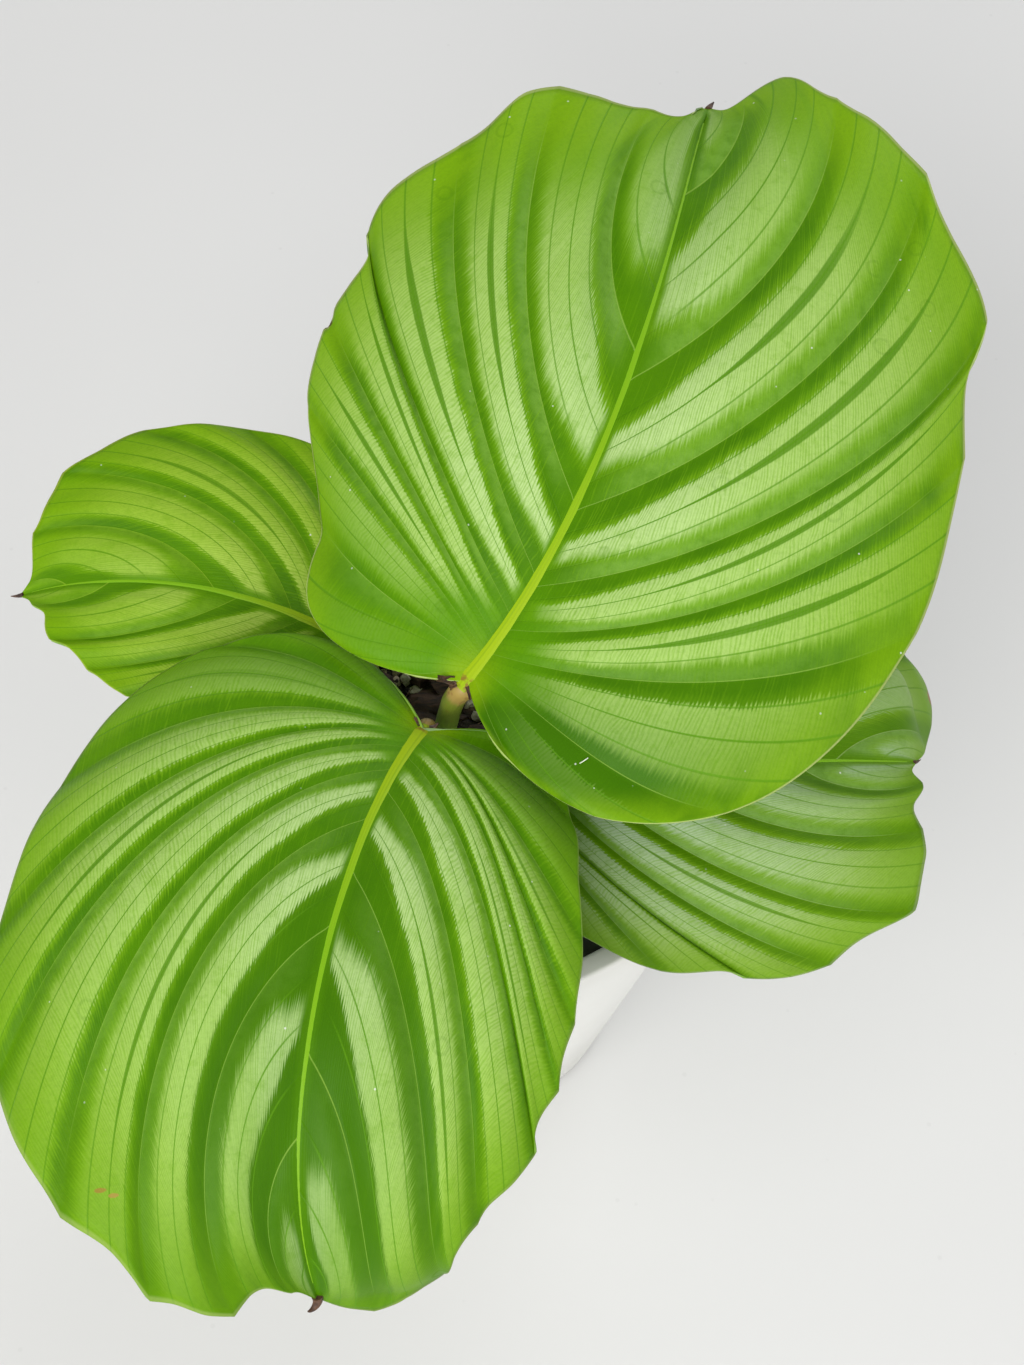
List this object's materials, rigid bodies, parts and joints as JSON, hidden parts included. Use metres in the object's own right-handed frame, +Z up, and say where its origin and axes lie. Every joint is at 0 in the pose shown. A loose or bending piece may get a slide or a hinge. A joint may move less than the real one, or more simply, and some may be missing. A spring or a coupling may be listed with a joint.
{
  "type": "potted round-leaf calathea",
  "caption": "Young round-leaf calathea, a prayer plant with broad pleated silver-banded leaves on bare stalks, in a plain tapered round pot with an inner grow pot.",
  "frame": {"origin": "centre of the pot's flat foot, on the surface that it stands on", "axes": "+Z up along the pot's axis, -Y the front of the plant, +X to the right of someone facing the front"},
  "size_m": [0.2602, 0.3114, 0.2714],
  "materials": {
    "pot_glaze": "smooth white satin glaze",
    "grow_pot_plastic": "smooth black plastic",
    "potting_mix": "loose dark fibre with bark and pale grains",
    "leaf_blade": "semi-gloss living leaf with pale silver bands between dark green ones"
  },
  "bodies": {
    "root": {"pot": "pot_glaze", "grow_pot": "grow_pot_plastic", "potting_mix": "potting_mix", "leaf_1": "leaf_blade", "leaf_2": "leaf_blade", "leaf_3": "leaf_blade", "leaf_4": "leaf_blade"}
  },
  "joints": []
}
